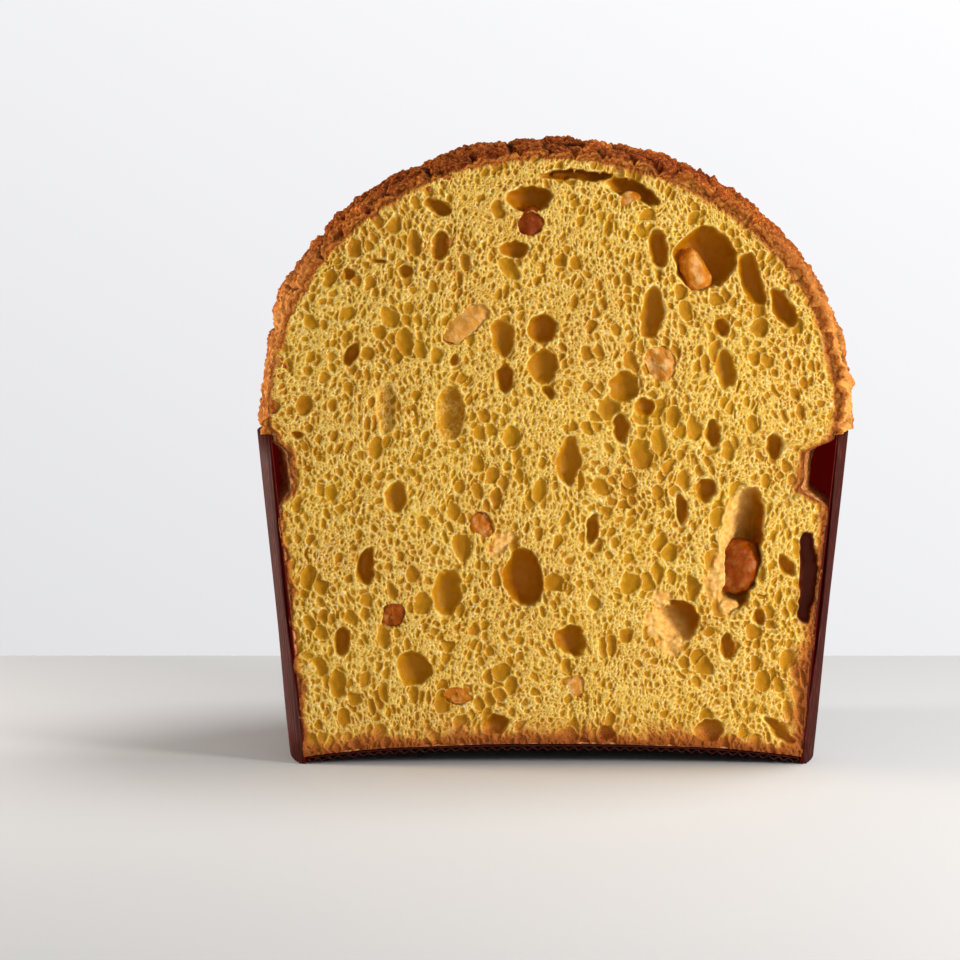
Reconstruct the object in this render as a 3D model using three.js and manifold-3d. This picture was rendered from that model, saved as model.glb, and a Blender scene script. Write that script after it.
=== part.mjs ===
// Panettone cut upright, standing in what is left of its fluted baking case.
//
// All sizes are millimetres, +Z is up. While the pieces are made, the loaf's own axis is
// x = 0, y = 0 and the table is z = 0. The knife went straight down in front of the axis,
// so the crumb faces -Y. The last lines move the whole to the middle of its footprint.

import * as THREE from 'three';
import { mergeVertices } from 'three/addons/utils/BufferGeometryUtils.js';
import { ConvexHull } from 'three/addons/math/ConvexHull.js';
import { ImprovedNoise } from 'three/addons/math/ImprovedNoise.js';
import Module from 'manifold-3d';

const wasm = await Module();
wasm.setup();

// Driving sizes of the baking case
const BASE_RADIUS = 83.2; // outside of the wall at the table
const RIM_RADIUS = 93.3; // outside of the wall at its rim
const CASE_HEIGHT = 103;
const PAPER = 0.6; // smooth liner
const FLUTE_DEPTH = 1.2;
const FLUTE_PITCH = 3.2;
const FLUTES = Math.round((Math.PI * (BASE_RADIUS + RIM_RADIUS)) / FLUTE_PITCH);
const ARCH = 4.4; // the base lifts this much off the table in the middle
const ARCH_POWER = 3;

// Driving sizes of the loaf
const DOME_RADIUS = 94.3; // widest part, above the rim
const DOME_EQUATOR = 112; // height of the widest part
const LOAF_HEIGHT = 195;
const CUT_OFFSET = 26; // distance from the axis to the knife
const BODY_SIDES = 48;
const NOTCH = { low: 80, deep_from: 87, deep_to: 97, left: 4, right: 8.5 }; // shrunk crumb below the rim

// Driving sizes of the crackled biscuit crust
const CHIPS = 740; // on a whole ball
const CHIP_TRIES = 4; // more tries space the chips more evenly
const CRACK_DEPTH = 2.6;
const CRACK_SHARE = [0.14, 0.3]; // how far a crack eats into a chip, from its corner to its middle
const CHIP_RISE = 0.7; // chips stand this much higher or lower than each other
const SWELL = 1.1; // slow bumps of the dome
const SWELL_LENGTH = 34;

const LARGE_HOLE = 13; // a hole this wide gets a finer wall
const GAP = 0.3; // clearance between neighbouring pieces
const SEED = 20;

// Bare skin, where the biscuit split open: azimuth and height as degrees on the dome
const BARE_PATCHES = [
  { azimuth: 184, height: 6, reach: 17 },
  { azimuth: 118, height: 31, reach: 12 },
  { azimuth: 62, height: 14, reach: 10 },
];

// Large holes on the cut face: middle, width, height, tilt in degrees, towards the right at the top
const HOLES = [
  // under the top crust
  { x: 7, z: 183.6, w: 23, h: 3.4, tilt: 0 },
  { x: 24, z: 178.5, w: 18, h: 5.5, tilt: 20 },
  { x: -7.5, z: 176.5, w: 15, h: 8, tilt: -6 },
  { x: -12, z: 161, w: 9, h: 5.5, tilt: 0 },
  // right shoulder
  { x: 46.6, z: 157.6, w: 18.5, h: 19, tilt: 0 },
  { x: 60.8, z: 151.7, w: 8.6, h: 16, tilt: -20 },
  { x: 71.3, z: 142.8, w: 7, h: 14, tilt: -28 },
  { x: 32.7, z: 161, w: 6.8, h: 11.7, tilt: -5 },
  { x: 30, z: 141, w: 8, h: 17, tilt: 8 },
  { x: 53, z: 123, w: 6.2, h: 12, tilt: 4 },
  // middle
  { x: 22, z: 118.3, w: 9.3, h: 11, tilt: 0 },
  { x: 28.5, z: 111.5, w: 6.2, h: 7, tilt: 20 },
  { x: -15.8, z: 133.5, w: 7.7, h: 11.4, tilt: -6 },
  { x: -3.4, z: 136, w: 9, h: 9, tilt: 0 },
  { x: -3.4, z: 124.5, w: 8.7, h: 10.8, tilt: 0 },
  { x: -15, z: 121, w: 5.3, h: 10.8, tilt: 0 },
  { x: 4.7, z: 94.4, w: 8.4, h: 16, tilt: 5 },
  { x: 40, z: 80, w: 4.3, h: 10.6, tilt: -4 },
  { x: 12.1, z: 73.2, w: 4.5, h: 10.6, tilt: 14 },
  // left
  { x: -31.6, z: 110.6, w: 8.7, h: 17, tilt: 0 },
  { x: -51.7, z: 111.5, w: 6.2, h: 15.5, tilt: 6 },
  { x: -49, z: 84, w: 6.2, h: 9, tilt: 0 },
  // right, low
  { x: 58, z: 67, w: 14, h: 40, tilt: 9 },
  { x: 68, z: 99, w: 5.3, h: 9.3, tilt: 12 },
  { x: 38.6, z: 44.4, w: 14, h: 15, tilt: -40 },
  { x: 78.8, z: 58.5, w: 5, h: 28, tilt: 2 },
  { x: 5.9, z: 39.4, w: 9, h: 10, tilt: -30 },
  { x: 48.7, z: 10.5, w: 8.7, h: 7, tilt: 0 },
  { x: 70.5, z: 10.5, w: 4, h: 12, tilt: -50 },
  // low middle and left
  { x: -9.3, z: 58, w: 13, h: 19, tilt: -12 },
  { x: -33, z: 54, w: 9, h: 15, tilt: 16 },
  { x: -58, z: 62, w: 6, h: 13, tilt: 8 },
  { x: -44, z: 30, w: 12, h: 10, tilt: 50 },
  { x: -18, z: 12.5, w: 9, h: 6, tilt: -8 },
];

// Candied peel on the cut face: middle, width, height, depth, tilt, and how far the piece's
// middle lies behind the cut. A piece that reaches past the cut was sliced by the knife.
const PEEL = [
  { x: -6.8, z: 168.6, w: 10.2, h: 10.2, d: 9, tilt: 0, behind: 3.6 },
  { x: 23.1, z: 175.6, w: 7.7, h: 5.5, d: 7, tilt: -15, behind: 3 },
  { x: 43.4, z: 153.6, w: 9, h: 15, d: 9, tilt: -24, behind: 5.4 },
  { x: -26.9, z: 137.5, w: 9.5, h: 19, d: 9, tilt: 52, behind: 3 },
  { x: -31.2, z: 165, w: 3.4, h: 7, d: 5, tilt: 20, behind: 1.6 },
  { x: 32.6, z: 124.8, w: 11.5, h: 13.5, d: 9, tilt: -12, behind: 3.4 },
  { x: 58, z: 62, w: 12.4, h: 18, d: 10, tilt: 6, behind: 6.2 },
  { x: -22.4, z: 75.4, w: 11, h: 9.3, d: 9, tilt: 60, behind: 3 },
  { x: 6.9, z: 24.6, w: 7.8, h: 10, d: 8, tilt: -20, behind: 3 },
  { x: -50, z: 47, w: 9, h: 12, d: 9, tilt: 35, behind: 3.4 },
  { x: -30, z: 22, w: 10.5, h: 8, d: 8, tilt: 10, behind: 3 },
];

const COLOURS = { loaf: '#c98f45', case_wall: '#4b2a22', case_base: '#5a3322', peel: '#c9752c' };

// Repeatable random numbers from 0 to 1
function makeRandom(seed) {
  let state = seed;
  return () => {
    state = (state * 1664525 + 1013904223) % 4294967296;
    return state / 4294967296;
  };
}

const random = makeRandom(SEED);
const noise = new ImprovedNoise();

function solidFrom(geometry) {
  const bare = geometry.clone();
  bare.deleteAttribute('normal');
  bare.deleteAttribute('uv');
  const welded = mergeVertices(bare, 1e-4);
  const vertProperties = new Float32Array(welded.attributes.position.array);
  const triVerts = new Uint32Array(welded.index.array);
  return new wasm.Manifold(new wasm.Mesh({ numProp: 3, vertProperties, triVerts }));
}

function geometryFrom(solid) {
  const mesh = solid.getMesh();
  const geometry = new THREE.BufferGeometry();
  geometry.setAttribute('position', new THREE.BufferAttribute(new Float32Array(mesh.vertProperties), 3));
  geometry.setIndex(new THREE.BufferAttribute(new Uint32Array(mesh.triVerts), 1));
  geometry.computeVertexNormals();
  return geometry;
}

// Moves every corner of a geometry to what place(corner) makes of it
function reshape(geometry, place) {
  const position = geometry.attributes.position;
  const corner = new THREE.Vector3();
  for (let i = 0; i < position.count; i += 1) {
    corner.fromBufferAttribute(position, i);
    place(corner);
    position.setXYZ(i, corner.x, corner.y, corner.z);
  }
  return geometry;
}

// A profile of radius and height turned once about the upright axis
function turned(profile, segments) {
  const points = profile.map(([radius, height]) => new THREE.Vector2(radius, height));
  const geometry = new THREE.LatheGeometry(points, segments);
  geometry.rotateX(Math.PI / 2);
  return geometry;
}

function wallRadius(height) {
  return BASE_RADIUS + ((RIM_RADIUS - BASE_RADIUS) * height) / CASE_HEIGHT;
}

function linerRadius(height) {
  return wallRadius(height) - FLUTE_DEPTH - PAPER;
}

function archHeight(radius) {
  return ARCH * (1 - Math.min(1, radius / BASE_RADIUS) ** ARCH_POWER);
}

// Everything in front of the knife, as one large block
function frontBlock() {
  const size = 4 * RIM_RADIUS;
  const block = new THREE.BoxGeometry(size, size, size);
  block.translate(0, -CUT_OFFSET - size / 2, LOAF_HEIGHT / 2);
  return solidFrom(block);
}

// Everything below the case's rim
function belowRim() {
  const size = 4 * RIM_RADIUS;
  const block = new THREE.BoxGeometry(size, size, size);
  block.translate(0, 0, CASE_HEIGHT + GAP - size / 2);
  return solidFrom(block);
}

// The middles of the crust's chips: each is the farthest of a few random tries
function chipMiddles() {
  const middles = [];
  for (let i = 0; i < CHIPS; i += 1) {
    let best = null;
    let bestNearest = -1;
    for (let attempt = 0; attempt < CHIP_TRIES; attempt += 1) {
      const up = 2 * random() - 1;
      const turn = 2 * Math.PI * random();
      const across = Math.sqrt(1 - up * up);
      const candidate = new THREE.Vector3(across * Math.cos(turn), across * Math.sin(turn), up);
      let nearest = Infinity;
      for (const middle of middles) nearest = Math.min(nearest, middle.distanceToSquared(candidate));
      if (nearest > bestNearest) {
        best = candidate;
        bestNearest = nearest;
      }
    }
    middles.push(best);
  }
  return middles;
}

// The dome's skin in one direction from its middle, lifted outwards. Above the widest part it
// is half an ellipsoid, and below it the sides go straight down.
function domePoint(direction, lift) {
  const rise = LOAF_HEIGHT - DOME_EQUATOR;
  const point = new THREE.Vector3();
  const normal = new THREE.Vector3();
  if (direction.z >= 0) {
    point.set(DOME_RADIUS * direction.x, DOME_RADIUS * direction.y, rise * direction.z);
    normal.set(direction.x / DOME_RADIUS, direction.y / DOME_RADIUS, direction.z / rise);
  } else {
    const across = Math.max(1e-6, Math.hypot(direction.x, direction.y));
    const radius = DOME_RADIUS * Math.min(1, 2 * across);
    point.set((radius * direction.x) / across, (radius * direction.y) / across, rise * direction.z);
    normal.set(direction.x, direction.y, 0);
  }
  const swell = noise.noise(point.x / SWELL_LENGTH, point.y / SWELL_LENGTH, point.z / SWELL_LENGTH);
  point.addScaledVector(normal.normalize(), lift + SWELL * swell);
  point.z += DOME_EQUATOR;
  return point;
}

// 1 in the middle of a bare patch, 0 on the biscuit
function bareness(direction) {
  let most = 0;
  for (const patch of BARE_PATCHES) {
    const up = THREE.MathUtils.degToRad(patch.height);
    const turn = THREE.MathUtils.degToRad(patch.azimuth);
    const middle = new THREE.Vector3(
      Math.cos(up) * Math.cos(turn),
      Math.cos(up) * Math.sin(turn),
      Math.sin(up),
    );
    const angle = THREE.MathUtils.radToDeg(direction.angleTo(middle));
    most = Math.max(most, 1 - THREE.MathUtils.smoothstep(angle, 0.6 * patch.reach, patch.reach));
  }
  return most;
}

// The domed top with its crackled crust. Each chip is the region nearest to its middle, so
// its corners are the centres of the triangles between neighbouring middles. The cracks run
// from corner to corner, and the chip's raised plate stands between them.
function crackledDome() {
  const middles = chipMiddles();
  const hull = new ConvexHull().setFromPoints(middles);
  const corners = [];
  const cornersOf = new Map(middles.map((middle) => [middle, []]));
  for (const face of hull.faces) {
    const index = corners.length;
    corners.push(face.normal.clone().normalize());
    let edge = face.edge;
    do {
      cornersOf.get(edge.head().point).push(index);
      edge = edge.next;
    } while (edge !== face.edge);
  }

  const positions = [];
  const triangles = [];
  const addPoint = (point) => positions.push(point.x, point.y, point.z) / 3 - 1;
  const floor = corners.map((corner) => addPoint(domePoint(corner, -CRACK_DEPTH)));

  for (const [middle, ring] of cornersOf) {
    const side = new THREE.Vector3(0, 0, 1).cross(middle).normalize();
    const upward = middle.clone().cross(side);
    const turnOf = (index) => Math.atan2(corners[index].dot(upward), corners[index].dot(side));
    ring.sort((a, b) => turnOf(a) - turnOf(b));
    const bare = bareness(middle);
    const plate = THREE.MathUtils.lerp(CHIP_RISE * (random() - 0.9), -CRACK_DEPTH + 0.2, bare);
    const share = THREE.MathUtils.lerp(CRACK_SHARE[0], CRACK_SHARE[1], random());
    const top = ring.map((index) => {
      const inset = corners[index].clone().lerp(middle, share).normalize();
      return addPoint(domePoint(inset, plate));
    });
    const crown = addPoint(domePoint(middle, plate + 0.5 * (1 - bare) * random()));
    for (let i = 0; i < ring.length; i += 1) {
      const j = (i + 1) % ring.length;
      triangles.push(floor[ring[i]], floor[ring[j]], top[j]);
      triangles.push(floor[ring[i]], top[j], top[i]);
      triangles.push(top[i], top[j], crown);
    }
  }
  const geometry = new THREE.BufferGeometry();
  geometry.setAttribute('position', new THREE.Float32BufferAttribute(positions, 3));
  geometry.setIndex(triangles);
  return solidFrom(geometry).subtract(belowRim());
}

// The loaf's body inside the case: it follows the arched base and the liner, and draws in
// below the rim, where the baked crumb shrank away from the paper.
function bodyInCase() {
  const sheet = PAPER + FLUTE_DEPTH + GAP;
  const profile = [0, 25, 48, 66, BASE_RADIUS - 5.5].map((radius) => [radius, archHeight(radius) + sheet]);
  const fits = (height) => linerRadius(height) - GAP;
  profile.push([fits(6), 6]);
  profile.push([fits(NOTCH.low), NOTCH.low]);
  profile.push([fits(NOTCH.deep_from) - 1, NOTCH.deep_from]);
  profile.push([fits(NOTCH.deep_to) - 1, NOTCH.deep_to]);
  profile.push([fits(CASE_HEIGHT), CASE_HEIGHT + GAP]);
  profile.push([DOME_RADIUS - 10, DOME_EQUATOR]);
  profile.push([0, DOME_EQUATOR]);
  const body = turned(profile, BODY_SIDES);
  reshape(body, (corner) => {
    if (corner.z < NOTCH.deep_from - 0.1 || corner.z > NOTCH.deep_to + 0.1) return;
    const radius = Math.hypot(corner.x, corner.y);
    const right = 0.5 + (0.5 * corner.x) / radius;
    const ripple = noise.noise(corner.x / 14, corner.y / 14, corner.z / 9);
    const depth = THREE.MathUtils.lerp(NOTCH.left, NOTCH.right, right) + 1.6 * ripple;
    corner.x *= (radius - depth) / radius;
    corner.y *= (radius - depth) / radius;
  });
  return solidFrom(body);
}

// A hole as a tilted egg whose middle lies on the cut
function holeSolid(hole) {
  const detail = Math.min(hole.w, hole.h) > LARGE_HOLE ? 2 : 1;
  const egg = new THREE.IcosahedronGeometry(1, detail);
  const depth = Math.min(0.42 * (hole.w + hole.h), 1.3 * Math.min(hole.w, hole.h));
  egg.scale(hole.w / 2, depth / 2 + 1, hole.h / 2);
  egg.rotateY(THREE.MathUtils.degToRad(hole.tilt));
  egg.translate(hole.x, -CUT_OFFSET, hole.z);
  return solidFrom(egg);
}

// A cube of peel with soft, uneven corners. Extra makes it larger all round, for its pocket.
function peelSolid(peel, extra) {
  const lump = new THREE.IcosahedronGeometry(1, 1);
  const squared = (value) => Math.sign(value) * Math.abs(value) ** 0.72;
  reshape(lump, (corner) => {
    const uneven = 1 + 0.16 * noise.noise(3 * corner.x + peel.x, 3 * corner.y, 3 * corner.z + peel.z);
    corner.set(squared(corner.x), squared(corner.y), squared(corner.z)).multiplyScalar(0.93 * uneven);
  });
  lump.scale(peel.w / 2 + extra, peel.d / 2 + extra, peel.h / 2 + extra);
  lump.rotateY(THREE.MathUtils.degToRad(peel.tilt));
  lump.translate(peel.x, -CUT_OFFSET + peel.behind, peel.z);
  return solidFrom(lump);
}

function loafSolid() {
  let loaf = crackledDome().add(bodyInCase()).subtract(frontBlock());
  for (const hole of HOLES) loaf = loaf.subtract(holeSolid(hole));
  for (const peel of PEEL) loaf = loaf.subtract(peelSolid(peel, GAP));
  return loaf;
}

// Fluted paper wall: a smooth liner with upright flutes outside, cut with the loaf
function caseWall() {
  const profile = [
    [linerRadius(0), 0],
    [wallRadius(0), 0],
    [wallRadius(CASE_HEIGHT), CASE_HEIGHT],
    [linerRadius(CASE_HEIGHT), CASE_HEIGHT],
    [linerRadius(0), 0],
  ];
  const wall = turned(profile, 2 * FLUTES);
  const step = Math.PI / FLUTES;
  reshape(wall, (corner) => {
    const radius = Math.hypot(corner.x, corner.y);
    if (radius < wallRadius(corner.z) - 0.1) return;
    const column = Math.round(Math.atan2(corner.x, -corner.y) / step);
    const scale = column % 2 === 0 ? 1 : (radius - FLUTE_DEPTH) / radius;
    corner.x *= scale;
    corner.y *= scale;
  });
  return solidFrom(wall).subtract(frontBlock());
}

// Fluted paper base: a thin arched disc inside the wall, its flutes running from the cut to
// the back and their ridges resting on the table all round
function caseBase() {
  const radius = linerRadius(0) - GAP;
  const reach = 0.995 * radius;
  const columns = 2 * Math.round((2 * reach) / FLUTE_PITCH);
  const sheet = new THREE.BoxGeometry(1, 1, 1, columns, 2, 1);
  reshape(sheet, (corner) => {
    const column = Math.round((corner.x + 0.5) * columns);
    const underside = corner.z < 0;
    const x = 2 * reach * corner.x;
    const back = Math.sqrt(radius * radius - x * x);
    const front = Math.max(-CUT_OFFSET, -back);
    const y = THREE.MathUtils.lerp(front, back, corner.y + 0.5);
    const flute = column % 2 === 0 ? 0 : FLUTE_DEPTH;
    const above = underside ? flute : FLUTE_DEPTH + PAPER;
    corner.set(x, y, archHeight(Math.hypot(x, y)) + above);
  });
  return solidFrom(sheet);
}

function named(name, solid, colour) {
  const material = new THREE.MeshStandardMaterial({ color: colour, roughness: 0.8, metalness: 0 });
  const mesh = new THREE.Mesh(geometryFrom(solid), material);
  mesh.name = name;
  return mesh;
}

const panettone = new THREE.Group();
const front = frontBlock();
panettone.add(named('loaf', loafSolid(), COLOURS.loaf));
panettone.add(named('case_wall', caseWall(), COLOURS.case_wall));
panettone.add(named('case_base', caseBase(), COLOURS.case_base));
PEEL.forEach((peel, index) => {
  panettone.add(named(`peel_${index + 1}`, peelSolid(peel, 0).subtract(front), COLOURS.peel));
});

// The origin goes to the middle of the footprint, on the table
const box = new THREE.Box3().setFromObject(panettone);
const middle = box.getCenter(new THREE.Vector3());
panettone.position.set(-middle.x, -middle.y, -box.min.z);

export default panettone;
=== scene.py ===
# %% [markdown]
# # A cut panettone in its baking case
#
# The loaf stands upright in what is left of its fluted paper case. One straight knife stroke
# opened it, so most of what the eye sees is crumb: a golden foam with holes of every size,
# pieces of candied peel, and a thin crackled biscuit crust round the dome.
#
# The solids of the part are loaded first. They say where everything is. Each visible piece is
# then made with the detail of the real one and takes the place of its solid.

# %% Load the part
import math
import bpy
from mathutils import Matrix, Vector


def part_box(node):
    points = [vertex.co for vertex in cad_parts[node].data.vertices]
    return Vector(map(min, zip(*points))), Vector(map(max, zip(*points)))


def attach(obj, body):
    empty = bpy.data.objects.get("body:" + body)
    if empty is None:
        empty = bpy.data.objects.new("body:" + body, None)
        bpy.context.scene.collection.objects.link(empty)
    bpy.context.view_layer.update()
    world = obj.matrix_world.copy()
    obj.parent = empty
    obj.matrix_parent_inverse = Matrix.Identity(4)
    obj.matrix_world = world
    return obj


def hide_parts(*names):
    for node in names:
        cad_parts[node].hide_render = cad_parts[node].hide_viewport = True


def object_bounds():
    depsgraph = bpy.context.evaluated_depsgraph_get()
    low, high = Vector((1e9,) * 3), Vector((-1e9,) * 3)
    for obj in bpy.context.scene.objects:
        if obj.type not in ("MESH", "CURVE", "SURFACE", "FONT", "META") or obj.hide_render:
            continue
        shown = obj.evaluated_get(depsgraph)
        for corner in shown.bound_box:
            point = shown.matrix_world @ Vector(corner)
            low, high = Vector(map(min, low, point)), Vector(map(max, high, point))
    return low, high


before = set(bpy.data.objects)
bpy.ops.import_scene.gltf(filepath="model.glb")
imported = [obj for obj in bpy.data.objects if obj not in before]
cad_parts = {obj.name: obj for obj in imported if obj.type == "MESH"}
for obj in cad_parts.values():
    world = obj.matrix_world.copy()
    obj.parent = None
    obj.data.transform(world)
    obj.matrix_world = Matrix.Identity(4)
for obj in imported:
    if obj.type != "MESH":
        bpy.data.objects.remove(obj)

from types import SimpleNamespace

import bmesh
import bpy
import numpy as np
from mathutils import Matrix, Vector
from mathutils.bvhtree import BVHTree

CAD_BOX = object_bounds()
MM = 0.001
print("part box in mm:", [[round(value / MM, 1) for value in corner] for corner in CAD_BOX])

# %% [markdown]
# ## Sizes
#
# Everything below is worked out in millimetres round the loaf's own axis, with the table at
# zero, because a loaf is round about that axis. The part's origin is the middle of its
# footprint instead, so one shift takes a finished mesh from the loaf's frame to the part's.
# The base disc is centred on the axis from left to right, and the knife went down in front of
# the axis, so two boxes give the shift.

# %% Sizes of the loaf and its case
CUT = 26.0  # the cut lies this far in front of the axis
BASE_RADIUS, RIM_RADIUS, CASE_HEIGHT = 83.2, 93.3, 103.0
PAPER, FLUTE_DEPTH, FLUTE_PITCH = 0.6, 1.2, 3.2
ARCH, ARCH_POWER = 4.4, 3
DOME_RADIUS, DOME_EQUATOR, LOAF_HEIGHT = 94.3, 112.0, 195.0
DOME_RISE = LOAF_HEIGHT - DOME_EQUATOR
NOTCH_LOW, NOTCH_FROM, NOTCH_TO, NOTCH_LEFT, NOTCH_RIGHT = 80.0, 87.0, 97.0, 4.0, 8.5
GAP = 0.3

base_low, base_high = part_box("case_base")
SHIFT = np.array([(base_low.x + base_high.x) / 2 / MM, CAD_BOX[0].y / MM + CUT, 0.0])
print("the loaf's axis stands at", SHIFT.round(2), "mm")


def wall_radius(height):
    """Outside of the case's wall."""
    return BASE_RADIUS + (RIM_RADIUS - BASE_RADIUS) * height / CASE_HEIGHT


def liner_radius(height):
    """Inside of the case's wall."""
    return wall_radius(height) - FLUTE_DEPTH - PAPER


def arch_height(radius):
    """How far the base lifts off the table."""
    return ARCH * (1 - np.minimum(1, radius / BASE_RADIUS) ** ARCH_POWER)


# %% [markdown]
# ## Repeatable randomness
#
# Crumb and crust are irregular at every scale, yet the model has to come out the same each
# time. So nothing draws random numbers: a hash turns the number of a lattice cell into a
# value from 0 to 1. Two patterns are built on it. `soft_noise` blends the values of the
# corners of a lattice cell, which gives slow bumps, and `noises` gives one for each direction
# in which points are pushed about. `cells` scatters one point in each cell and returns how far
# the nearest two are, which gives pores, chips and the cracks between.

# %% Hash, noise and cells
SALT_STEP, CELL_STEP, STIR_ONE, STIR_TWO = 747796405, 2654435761, 2246822519, 3266489917


def dice(salt, *numbers):
    """A repeatable value from 0 to 1 for each set of whole numbers."""
    value = np.full(numbers[0].shape, salt * SALT_STEP % 2**32, np.uint32)
    for number in numbers:
        value ^= number.astype(np.int64).astype(np.uint32) * np.uint32(CELL_STEP)
        value ^= value >> np.uint32(15)
        value *= np.uint32(STIR_ONE)
        value ^= value >> np.uint32(13)
    value *= np.uint32(STIR_TWO)
    value ^= value >> np.uint32(16)
    return value / 2.0**32


def soft_noise(points, length, salt):
    """Smooth bumps from -1 to 1 with this wavelength, at points of two or three coordinates."""
    scaled = points / length
    corner = np.floor(scaled).astype(np.int64)
    part = scaled - corner
    part = part * part * (3 - 2 * part)
    total = np.zeros(len(points))
    axes = points.shape[1]
    for number in range(2**axes):
        offset = np.array([number >> axis & 1 for axis in range(axes)])
        weight = np.prod(np.where(offset, part, 1 - part), axis=1)
        total += weight * dice(salt, *(corner + offset).T)
    return 2 * total - 1


def noises(points, length, *salts):
    """One soft noise for each salt, side by side."""
    return np.stack([soft_noise(points, length, salt) for salt in salts], axis=1)


def cells(points, spacing, salt, jitter=0.9):
    """Distances to the nearest two scattered points, and a random value of the nearest."""
    scaled = points / spacing
    home = np.floor(scaled).astype(np.int64)
    axes = points.shape[1]
    nearest = np.full(len(points), 9.0)
    second = np.full(len(points), 9.0)
    chance = np.zeros(len(points))
    for number in range(3**axes):
        cell = home + np.array([number // 3**axis % 3 - 1 for axis in range(axes)])
        scatter = np.stack([dice(salt + axis, *cell.T) for axis in range(axes)], axis=1)
        away = np.linalg.norm(cell + 0.5 + jitter * (scatter - 0.5) - scaled, axis=1)
        closer = away < nearest
        second = np.where(closer, nearest, np.minimum(second, away))
        chance = np.where(closer, dice(salt + 7, *cell.T), chance)
        nearest = np.where(closer, away, nearest)
    return nearest * spacing, second * spacing, chance


def ramp(low, high, value):
    """0 up to low, 1 from high, with a smooth rise between."""
    part = np.clip((value - low) / (high - low), 0, 1)
    return part * part * (3 - 2 * part)


# %% [markdown]
# ## From a bmesh to a piece
#
# A mesh is made in millimetres in the loaf's frame. `piece` moves it into the part's frame,
# shades it smooth, gives it its material, sets it on the body it rides on and hides the solids
# that it stands for. `reshape` moves all corners of a mesh at once, and `paint` stores values
# per corner, such as how deep in a pore it lies, for the material. `turned` spins a profile
# round the loaf's axis, and `cut_off` is the knife.

# %% Helpers for meshes
MERGE = 0.001  # mm: corners closer than this are one


def add_object(name, data):
    """A new object in the scene."""
    made = bpy.data.objects.new(name, data)
    bpy.context.scene.collection.objects.link(made)
    return made


def corners(mesh):
    """All corners of a mesh as an array."""
    flat = np.empty(len(mesh.vertices) * 3)
    mesh.vertices.foreach_get("co", flat)
    return flat.reshape(-1, 3)


def reshape(mesh, points):
    """Moves the corners of a mesh to the rows of an array."""
    mesh.vertices.foreach_set("co", points.reshape(-1))
    mesh.update()


def paint(mesh, **painted):
    """Stores one value per corner under each name, for a material to read."""
    for name, values in painted.items():
        layer = mesh.attributes.new(name, "FLOAT", "POINT")
        layer.data.foreach_set("value", np.asarray(values, np.float32))


def shape_of(mesh):
    """A bmesh copy of a mesh."""
    shape = bmesh.new()
    shape.from_mesh(mesh)
    return shape


def write_back(shape, mesh):
    """Puts a bmesh, which is freed, into a mesh."""
    shape.to_mesh(mesh)
    shape.free()
    return mesh


def mesh_of(shape, name):
    """A new mesh from a bmesh, which is freed."""
    return write_back(shape, bpy.data.meshes.new(name))


def turned(profile, steps):
    """A profile of radii and heights, spun round the loaf's axis."""
    shape = bmesh.new()
    verts = [shape.verts.new((radius, 0, height)) for radius, height in profile]
    chain = verts + [shape.edges.new(pair) for pair in zip(verts, verts[1:])]
    bmesh.ops.spin(shape, geom=chain, cent=(0, 0, 0), axis=(0, 0, 1), dvec=(0, 0, 0),
                   angle=2 * math.pi, steps=steps, use_merge=True)
    bmesh.ops.remove_doubles(shape, verts=shape.verts[:], dist=MERGE)
    bmesh.ops.recalc_face_normals(shape, faces=shape.faces)
    return shape


def cut_off(shape, place, normal):
    """Cuts along a plane and clears the side that its normal points to."""
    everything = shape.verts[:] + shape.edges[:] + shape.faces[:]
    bmesh.ops.bisect_plane(shape, geom=everything, dist=1e-5, plane_co=place, plane_no=normal,
                           clear_outer=True)


def piece(mesh, name, material, slot, *nodes):
    """Puts a finished mesh into the part's frame as a piece that stands for these nodes."""
    reshape(mesh, (corners(mesh) + SHIFT) * MM)
    mesh.shade_smooth()
    mesh.materials.append(material)
    made = add_object(name, mesh)
    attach(made, "root")
    if nodes:
        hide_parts(*nodes)
    print(name, "has", sum(len(face.vertices) - 2 for face in mesh.polygons), "triangles")
    return made


# %% [markdown]
# ## Colours and nodes
#
# Colours are written as the sRGB hex values that a colour picker shows, and one function
# turns them to the linear values that shaders use. `wire` sets or links the sockets of a node,
# and `node` adds one with its settings, so that a material reads from top to bottom. It gives
# back the output that the next node needs.

# %% Helpers for materials
MIX = {"data_type": "RGBA"}  # settings of a Mix node: one colour over another
DARKEN = {"data_type": "RGBA", "blend_type": "MULTIPLY"}
SCALED_SUM, PRODUCT = {"operation": "MULTIPLY_ADD"}, {"operation": "MULTIPLY"}  # of a Math node


def linear(colour):
    """A hex colour such as "#c98f45" as linear red, green, blue and alpha."""
    values = [int(colour[i : i + 2], 16) / 255 for i in (1, 3, 5)]
    return [v / 12.92 if v <= 0.04045 else ((v + 0.055) / 1.055) ** 2.4 for v in values] + [1.0]


def wire(made, **inputs):
    """Sets or links inputs. They are named by socket, with _ for a space, or s0, s1 by number."""
    for name, value in inputs.items():
        by_number = name[0] == "s" and name[1:].isdigit()
        socket = made.inputs[int(name[1:]) if by_number else name.replace("_", " ")]
        if isinstance(value, bpy.types.NodeSocket):
            made.id_data.links.new(value, socket)
        else:
            socket.default_value = linear(value) if isinstance(value, str) else value


def node(material, kind, settings=None, output=0, stops=(), **inputs):
    """Adds a node and returns one of its outputs. Stops are a ramp's places and hex colours."""
    made = material.node_tree.nodes.new("ShaderNode" + kind)
    for name, value in (settings or {}).items():
        setattr(made, name, value)
    for _ in stops[2:]:
        made.color_ramp.elements.new(0.5)
    for number, (place, colour) in enumerate(stops):
        made.color_ramp.elements[number].position = place
        made.color_ramp.elements[number].color = linear(colour)
    wire(made, **inputs)
    return made.outputs[output]


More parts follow.
